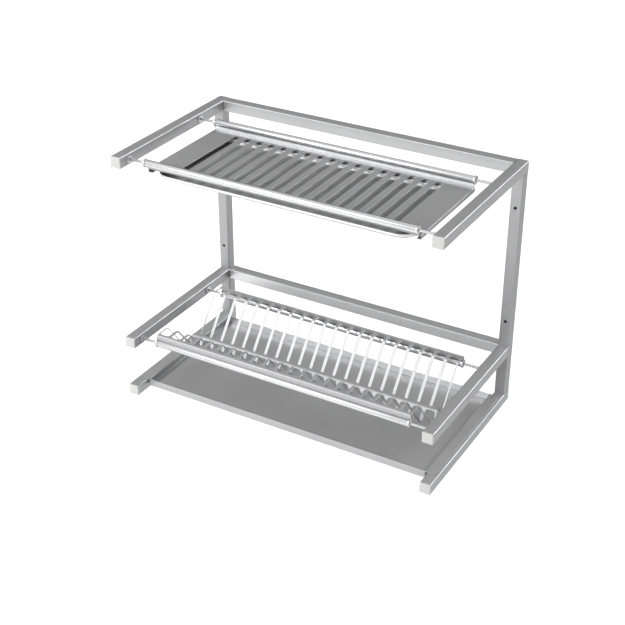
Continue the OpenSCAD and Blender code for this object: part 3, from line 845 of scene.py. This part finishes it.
def shelf_sides():
    """The plain parts of the shelf beside the slots, with its side flanges and lips."""
    shape = bmesh.new()
    edge = SHELF_SLOTS * SHELF_PITCH / 2
    fold = fold_line([(HALF_RACK - RELIEF, SHELF_Z), (HALF_RACK - SHEET_T / 2, SHELF_Z),
                      (HALF_RACK - SHEET_T / 2, SHELF_Z - FLANGE_H + SHEET_T),
                      (HALF_RACK - LIP_W, SHELF_Z - FLANGE_H + SHEET_T)],
                     [SHELF_BEND, SHELF_BEND])
    for side in (-1, 1):
        rows = [[shape.verts.new((side * x, p.x, p.y)) for x in (edge, HALF_RACK - RELIEF)]
                for p in shelf_line]
        for here, after in zip(rows, rows[1:]):
            shape.faces.new((here[0], here[1], after[1], after[0]))
        flange_rows = [p.x for p in shelf_line if abs(p.y - SHELF_Z) < JOIN
                       and FLANGE_Y[0] - JOIN < p.x < FLANGE_Y[1] + JOIN]
        strips = [[shape.verts.new((side * q.x, y, q.y)) for q in fold] for y in flange_rows]
        for here, after in zip(strips, strips[1:]):
            for k in range(len(fold) - 1):
                shape.faces.new((here[k], here[k + 1], after[k + 1], after[k]))
    shape.faces.new([shape.verts.new((x, STOP_Y, z)) for x, z in (
        (-STOP_X, SHELF_Z), (STOP_X, SHELF_Z), (STOP_X, STOP_Z), (-STOP_X, STOP_Z))])
    bmesh.ops.remove_doubles(shape, verts=shape.verts, dist=JOIN)
    bmesh.ops.recalc_face_normals(shape, faces=shape.faces)
    if sum(f.normal.z for f in shape.faces if abs(f.normal.z) > LEVEL) < 0:
        bmesh.ops.reverse_faces(shape, faces=shape.faces)
    mesh = bpy.data.meshes.new("shelf_sides")
    shape.to_mesh(mesh)
    shape.free()
    return mesh


plain_sides = bpy.data.objects.new("shelf_sides", shelf_sides())
scene.collection.objects.link(plain_sides)
shelf = place_piece(
    sheet_mesh("folded_shelf", shelf_cell, SHELF_SLOTS, SHELF_PITCH, plain_sides, shelf_x),
    "folded_shelf", "frame", "sheet_steel", shelf_x, "shelf_sheet")
bpy.data.objects.remove(plain_sides)
# The rear edge's faces get the smoother finish whose lighter tone is a painted highlight.
edge_faces = refinish(shelf, shelf_edge_painted_highlight_x, lambda face: face.center.z > SHELF_Z + SHEET_T
                      and face.center.y > ROD_Y["rear"] - EDGE_BAND)
print("shelf faces:", len(shelf.data.polygons), "polished:", edge_faces)

# %% [markdown]
# The pan and the tray are pressed dishes. Each is a stack of rounded rectangles, from the middle of
# the floor up the inside, over the edge, down the outside and back under the floor. Neighbouring
# rings are joined by faces. A bend is a few rings on a quarter circle.

# %% A stack of rounded rectangles
ROUND_CORNER = 12     # flat parts of a ring's corner
DISH_BEND = 5         # flat parts of a dish's bend
HOLD = 0.001          # width of the flat ring that keeps a floor's shading flat


def stack_mesh(rings):
    """A closed body through rings of (half width, front y, rear y, corner radius, height)."""
    shape = bmesh.new()
    loops = []
    for wide, front, rear, r, z in rings:
        middle_y, deep = (front + rear) / 2, (rear - front) / 2
        loop = []
        for quarter, (sx, sy) in enumerate(((1, 1), (-1, 1), (-1, -1), (1, -1))):
            for k in range(ROUND_CORNER + 1):
                angle = math.pi / 2 * (quarter + k / ROUND_CORNER)
                loop.append(shape.verts.new((sx * (wide - r) + r * math.cos(angle),
                                             middle_y + sy * (deep - r) + r * math.sin(angle),
                                             z - MOUNT_H)))
        loops.append(loop)
    for here, after in zip(loops, loops[1:]):
        for k in range(len(here)):
            m = (k + 1) % len(here)
            shape.faces.new((here[k], here[m], after[m], after[k]))
    shape.faces.new(loops[0])
    shape.faces.new(loops[-1])
    return shape


def shrunk(ring, by, rear_by=None):
    """A ring (half width, front y, rear y, corner radius, height) with all its sides moved in."""
    wide, front, rear, r, z = ring
    return (wide - by, front + by, rear - (by if rear_by is None else rear_by),
            max(r - by, SHEET_T / 2), z)


def bend(ring, radius, rear_radius):
    """Rings of a quarter bend from a floor, at the given ring's height, up to its walls."""
    rings = []
    for k in range(DISH_BEND + 1):
        angle = math.pi / 2 * k / DISH_BEND
        share = 1 - math.sin(angle)
        wide, front, rear, r, z = shrunk(ring, radius * share, rear_radius * share)
        rings.append((wide, front, rear, r, z + radius * (1 - math.cos(angle))))
    return rings


def finished(shape, name):
    """The mesh of a closed body, with its normals outwards."""
    bmesh.ops.recalc_face_normals(shape, faces=shape.faces)
    mesh = bpy.data.meshes.new(name)
    shape.to_mesh(mesh)
    shape.free()
    return mesh


print("points in a ring:", 4 * (ROUND_CORNER + 1))

# %% [markdown]
# The drip pan is shallow, with large round corners. Its floor and inner wall are one stack of
# rings, and its outer wall and underside follow as the same rings moved out by the sheet's
# thickness, in the other order. The shape stays a bmesh for now, because the rims join it next.

# %% Drip pan: the dish
PAN_X, PAN_TOP, PAN_H = 0.303, 0.5515, 0.0095
PAN_FRONT, PAN_REAR = -0.378, -0.1375
PAN_CORNER, PAN_FOLD, PAN_REAR_FOLD = 0.046, 0.0065, 0.0018
EDGE_R = 0.0003                       # rounding of the pan's top edge

pan_out = (PAN_X, PAN_FRONT, PAN_REAR, PAN_CORNER, PAN_TOP - PAN_H)
pan_in = shrunk(pan_out, SHEET_T)[:4] + (PAN_TOP - PAN_H + SHEET_T,)
pan_under = bend(pan_out, PAN_FOLD, PAN_REAR_FOLD)
pan_floor = bend(pan_in, PAN_FOLD - SHEET_T, PAN_REAR_FOLD - SHEET_T)
pan_rings = [shrunk(pan_floor[0], HOLD)] + pan_floor
pan_rings += [pan_in[:4] + (PAN_TOP - EDGE_R,), shrunk(pan_out, SHEET_T - EDGE_R)[:4] + (PAN_TOP,),
              shrunk(pan_out, EDGE_R)[:4] + (PAN_TOP,), pan_out[:4] + (PAN_TOP - EDGE_R,)]
pan_rings += pan_under[::-1] + [shrunk(pan_under[0], HOLD)]
pan_shape = stack_mesh(pan_rings)
print("rings of the pan:", len(pan_rings))

# %% [markdown]
# The rims at the pan's sides slide on the shelf's lips, and a flat lip behind its rear wall meets
# the stop strip. Each is a flat plate with slightly rounded corners that starts inside the wall.
# Inside, the pan's floor is rougher than outside, with a darker tone that is painted shade under
# the shelf. Its inner walls get a near-white, almost matt tone: painted light where the slots let
# light onto them.

# %% Drip pan: rims and finishes
RIM_X, RIM_Z = 0.309, 0.5495          # outer edge and top of the side rims
PAN_LIP = 0.006                       # depth of the flat lip behind the rear wall
RIM_CORNER, RIM_STEPS = 0.0004, 6     # radius of a rim's corners, and their flat parts
FLAT, INWARDS = 0.98, 0.03            # how level a floor face is, how much a wall face turns in
FLOOR_BELOW = 0.006                   # the floor lies at least this far below the pan's top


def add_rim(shape, corners, top):
    """A flat rim of sheet metal with rounded corners (x, y)."""
    outline = []
    for i, here in enumerate(corners):
        here, before, after = Vector(here), Vector(corners[i - 1]), Vector(
            corners[(i + 1) % len(corners)])
        a, b = (before - here).normalized(), (after - here).normalized()
        centre = here + (a + b) * RIM_CORNER
        for k in range(RIM_STEPS + 1):
            angle = math.pi / 2 * k / RIM_STEPS
            outline.append(centre - (b * math.cos(angle) + a * math.sin(angle)) * RIM_CORNER)
    layers = [[shape.verts.new((p.x, p.y, z - MOUNT_H)) for p in outline]
              for z in (top, top - SHEET_T)]
    for k in range(len(outline)):
        m = (k + 1) % len(outline)
        shape.faces.new((layers[0][k], layers[0][m], layers[1][m], layers[1][k]))
    shape.faces.new(layers[0])
    shape.faces.new(layers[1])


pan_mid = (PAN_FRONT + PAN_REAR) / 2
rim_d = (PAN_REAR - PAN_FRONT) / 2 - PAN_CORNER
for side in (-1, 1):
    x0, x1 = side * (PAN_X - SHEET_T / 2), side * RIM_X
    add_rim(pan_shape, [(x0, pan_mid - rim_d), (x1, pan_mid - rim_d), (x1, pan_mid + rim_d),
                        (x0, pan_mid + rim_d)], RIM_Z)
lip_x, lip_y = PAN_X - PAN_CORNER, (PAN_REAR - SHEET_T / 2, PAN_REAR + PAN_LIP)
add_rim(pan_shape, [(-lip_x, lip_y[0]), (lip_x, lip_y[0]), (lip_x, lip_y[1]),
                    (-lip_x, lip_y[1])], PAN_TOP)
pan = place_piece(finished(pan_shape, "drip_pan_dish"), "drip_pan_dish", "pan", "sheet_steel",
                  pan_x, "drip_pan")


def on_pan_floor(face):
    """True for a level face well below the pan's top."""
    return face.normal.z > FLAT and face.center.z < PAN_TOP - FLOOR_BELOW - MOUNT_H


def turns_inwards(face):
    """True for a wall face that looks to the middle of the pan."""
    side, back = face.center.x, face.center.y - pan_mid
    return face.normal.x * side + face.normal.y * back < -INWARDS


# The floor faces get the rough finish with painted shade, and the inner walls the near-white
# painted light.
print("floor faces:", refinish(pan, pan_floor_rough_painted_shade_x, on_pan_floor),
      "inner wall faces:", refinish(pan, pan_wall_painted_light_x, turns_inwards))

# %% [markdown]
# The drip tray is the same kind of stack, with small corners. After the inner wall its rings
# widen over a fold into flanges that lie on the arms, and come back under them to the outer wall.
# The underside of a flange keeps a hair's breadth off the arm, so that the tray slides freely. The
# rear wall's inner face is smoother than the floor, and its much lighter tone is painted light on
# that face.

# %% Drip tray
TRAY_X, TRAY_TOP, TRAY_H = 0.351, 0.026, 0.018
TRAY_FRONT, TRAY_REAR = -0.373, -0.039
TRAY_CORNER, TRAY_FOLD = 0.004, 0.0025
FLANGE_X, FLANGE_CORNER = 0.3745, 0.009
FLANGE_FOLD, FLANGE_STEPS = 0.002, 5   # fold from a side wall to its flange, and its flat parts
FLANGE_R = 0.0002                     # rounding of a flange's edge
FLANGE_AIR = 0.0001                   # how far a flange's underside keeps off the arm
WALL_FACE = -0.9                      # the rear wall's inner faces have a normal's y below this

tray_out = (TRAY_X, TRAY_FRONT, TRAY_REAR, TRAY_CORNER, TRAY_TOP - TRAY_H)
tray_in = shrunk(tray_out, SHEET_T)[:4] + (TRAY_TOP - TRAY_H + SHEET_T,)
flange = (FLANGE_X, TRAY_FRONT, TRAY_REAR, FLANGE_CORNER)
tray_under = bend(tray_out, TRAY_FOLD, TRAY_FOLD)
tray_floor = bend(tray_in, TRAY_FOLD - SHEET_T, TRAY_FOLD - SHEET_T)
tray_rings = [shrunk(tray_floor[0], HOLD)] + tray_floor
for k in range(FLANGE_STEPS + 1):
    angle = math.pi / 2 * k / FLANGE_STEPS
    tray_rings.append((tray_in[0] + FLANGE_FOLD * (1 - math.cos(angle)), *tray_in[1:4],
                       TRAY_TOP - FLANGE_FOLD * (1 - math.sin(angle))))
tray_rings += [shrunk(flange + (TRAY_TOP,), FLANGE_R), flange + (TRAY_TOP - FLANGE_R,),
               flange + (TRAY_TOP - SHEET_T + FLANGE_R,),
               (TRAY_X + FLANGE_FOLD, *tray_out[1:4], TRAY_TOP - SHEET_T + FLANGE_AIR),
               tray_out[:4] + (TRAY_TOP - SHEET_T - FLANGE_FOLD,)]
tray_rings += tray_under[::-1] + [shrunk(tray_under[0], HOLD)]
tray = place_piece(finished(stack_mesh(tray_rings), "drip_tray_dish"), "drip_tray_dish", "tray",
                   "sheet_steel", sheet_x, "drip_tray")
# The rear wall's inner faces: smoother, and lighter as painted light.
rear_faces = refinish(tray, tray_wall_painted_light_x, lambda face: face.normal.y < WALL_FACE
                      and face.center.y > TRAY_REAR - 2 * SHEET_T)
print("rings of the tray:", len(tray_rings), "rear wall faces:", rear_faces)
